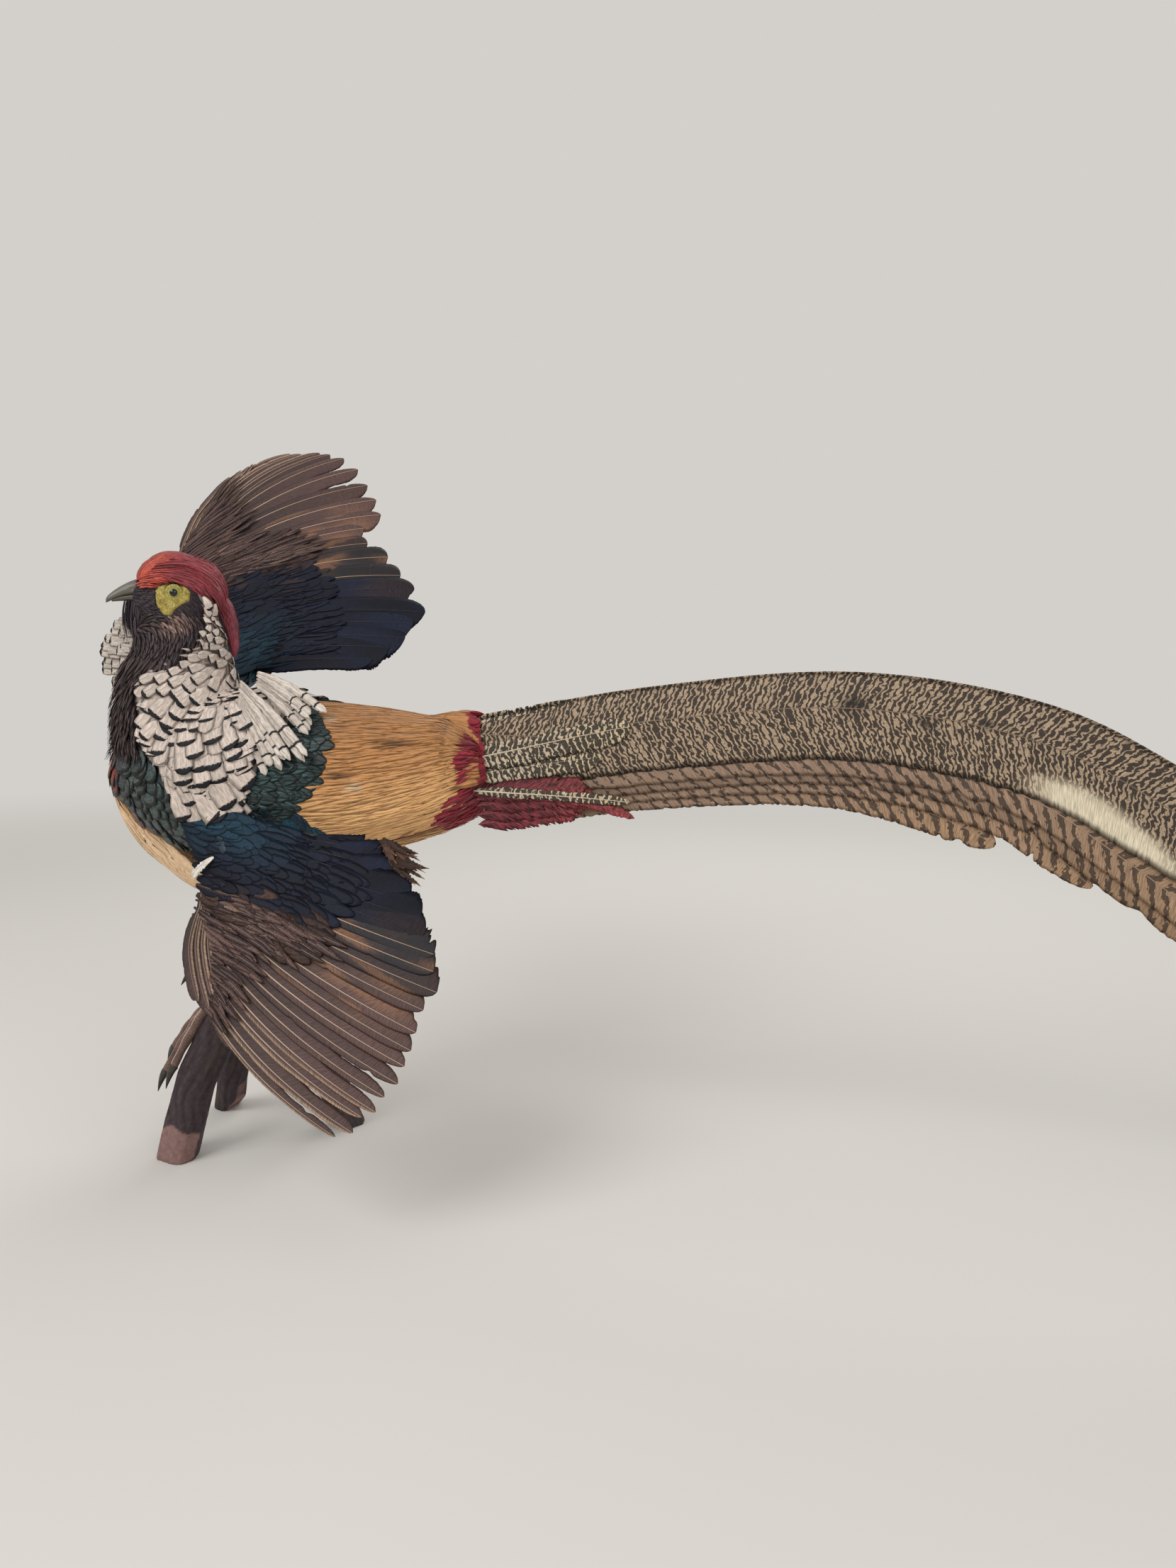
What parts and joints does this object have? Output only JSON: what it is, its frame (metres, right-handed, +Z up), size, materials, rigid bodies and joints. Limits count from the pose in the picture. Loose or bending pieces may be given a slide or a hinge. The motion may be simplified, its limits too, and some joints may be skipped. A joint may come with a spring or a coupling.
{
  "type": "taxidermy pheasant on a branch",
  "caption": "Life-size mounted cock pheasant with a red crest, a barred cape, raised wings and a long arched tail, standing on a forked branch.",
  "frame": {"origin": "middle of the flat underside of the branch's front foot, on the surface the mount stands on", "axes": "+X back along the tail, -Y to the bird's left, +Z up"},
  "size_m": [1.0225, 0.3668, 0.5069],
  "materials": {
    "bark": "rough dark bark, with pale sawn ends",
    "bill": "dull dark olive horn",
    "eye": "clear glossy glass over a pale greenish iris",
    "face_skin": "dry yellow-green bare skin",
    "leg_scales": "dry scaled skin, dark with paler edges",
    "crest_feathers": "silky narrow feathers, orange-red in front and crimson behind",
    "cape_feathers": "broad pale feathers with dark edges and bars",
    "dark_feathers": "short dark brown feathers",
    "mantle_feathers": "scale-like teal-green feathers with black edges and a sheen",
    "rump_feathers": "silky golden feathers",
    "covert_feathers": "long narrow crimson feathers",
    "thigh_feathers": "short brown feathers",
    "wing_covert_feathers": "blue-black feathers with a teal sheen",
    "flight_feathers": "brown vanes with pale shafts",
    "tail_feathers": "cream vanes with fine black vermiculation"
  },
  "bodies": {
    "root": {"bill_lower": "bill", "bill_upper": "bill", "branch": "bark", "cape": "cape_feathers", "crest": "crest_feathers", "eye_left": "eye", "eye_right": "eye", "foot_left": "leg_scales", "foot_right": "leg_scales", "head": "dark_feathers", "neck": "dark_feathers", "rump": "rump_feathers", "shank_left": "leg_scales", "shank_right": "leg_scales", "tail_central_left": "tail_feathers", "tail_central_right": "tail_feathers", "tail_coverts_left": "covert_feathers", "tail_coverts_right": "covert_feathers", "tail_outer_left": "tail_feathers", "tail_outer_right": "tail_feathers", "thigh_left": "thigh_feathers", "thigh_right": "thigh_feathers", "trunk": "mantle_feathers", "wing_left_alula": "flight_feathers", "wing_left_arm": "wing_covert_feathers", "wing_left_primaries": "flight_feathers", "wing_left_secondaries": "flight_feathers", "wing_left_tertials": "wing_covert_feathers", "wing_right_alula": "flight_feathers", "wing_right_arm": "wing_covert_feathers", "wing_right_primaries": "flight_feathers", "wing_right_secondaries": "flight_feathers", "wing_right_tertials": "wing_covert_feathers"}
  },
  "joints": []
}
